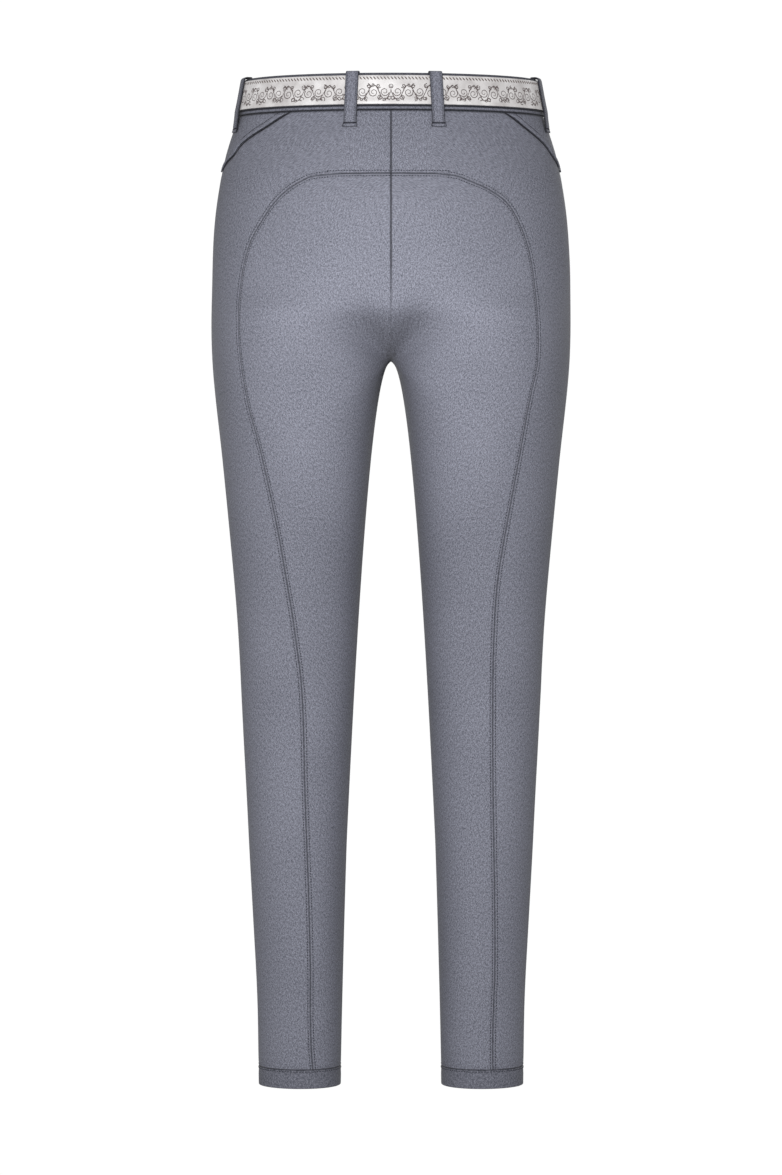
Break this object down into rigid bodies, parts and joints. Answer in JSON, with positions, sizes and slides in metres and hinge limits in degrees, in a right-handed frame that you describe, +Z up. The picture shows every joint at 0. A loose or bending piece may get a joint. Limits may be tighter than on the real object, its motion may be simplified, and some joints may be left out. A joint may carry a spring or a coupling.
{
  "type": "full-seat riding breeches with belt",
  "caption": "Hollow full-length riding breeches with a full seat, slanted hip pockets, belt loops and a buckled leather belt, filled out as worn.",
  "frame": {"origin": "centre of the waist at the waistband's mid-height, where the wearer's waist holds the garment", "axes": "+Z up along the body, front towards -Y, wearer's left towards +X"},
  "size_m": [0.3584, 0.2317, 1.0079],
  "materials": {
    "breeches_cloth": "cool mid-grey stretch twill with a fine melange and a soft sheen",
    "belt_leather": "silvery cream leather with a brown scroll print and a corded border",
    "buckle_metal": "satin nickel",
    "rivet_metal": "small domed antique rivet"
  },
  "bodies": {
    "root": {"front_left": "breeches_cloth", "front_right": "breeches_cloth", "back_side_left": "breeches_cloth", "back_side_right": "breeches_cloth", "seat_left": "breeches_cloth", "seat_right": "breeches_cloth", "pocket_welt_left": "breeches_cloth", "pocket_welt_right": "breeches_cloth", "hem_left": "breeches_cloth", "hem_right": "breeches_cloth", "waistband_back": "breeches_cloth", "waistband_front_left": "breeches_cloth", "waistband_front_right": "breeches_cloth", "fly_lap": "breeches_cloth", "belt_loop_back_left": "breeches_cloth", "belt_loop_back_right": "breeches_cloth", "belt_loop_side_left": "breeches_cloth", "belt_loop_side_right": "breeches_cloth", "belt_loop_front_left": "breeches_cloth", "belt_loop_front_right": "breeches_cloth", "belt_strap": "belt_leather", "belt_keeper": "belt_leather", "belt_buckle_frame": "buckle_metal", "belt_buckle_prong": "buckle_metal", "waist_rivet_left": "rivet_metal"}
  },
  "joints": []
}
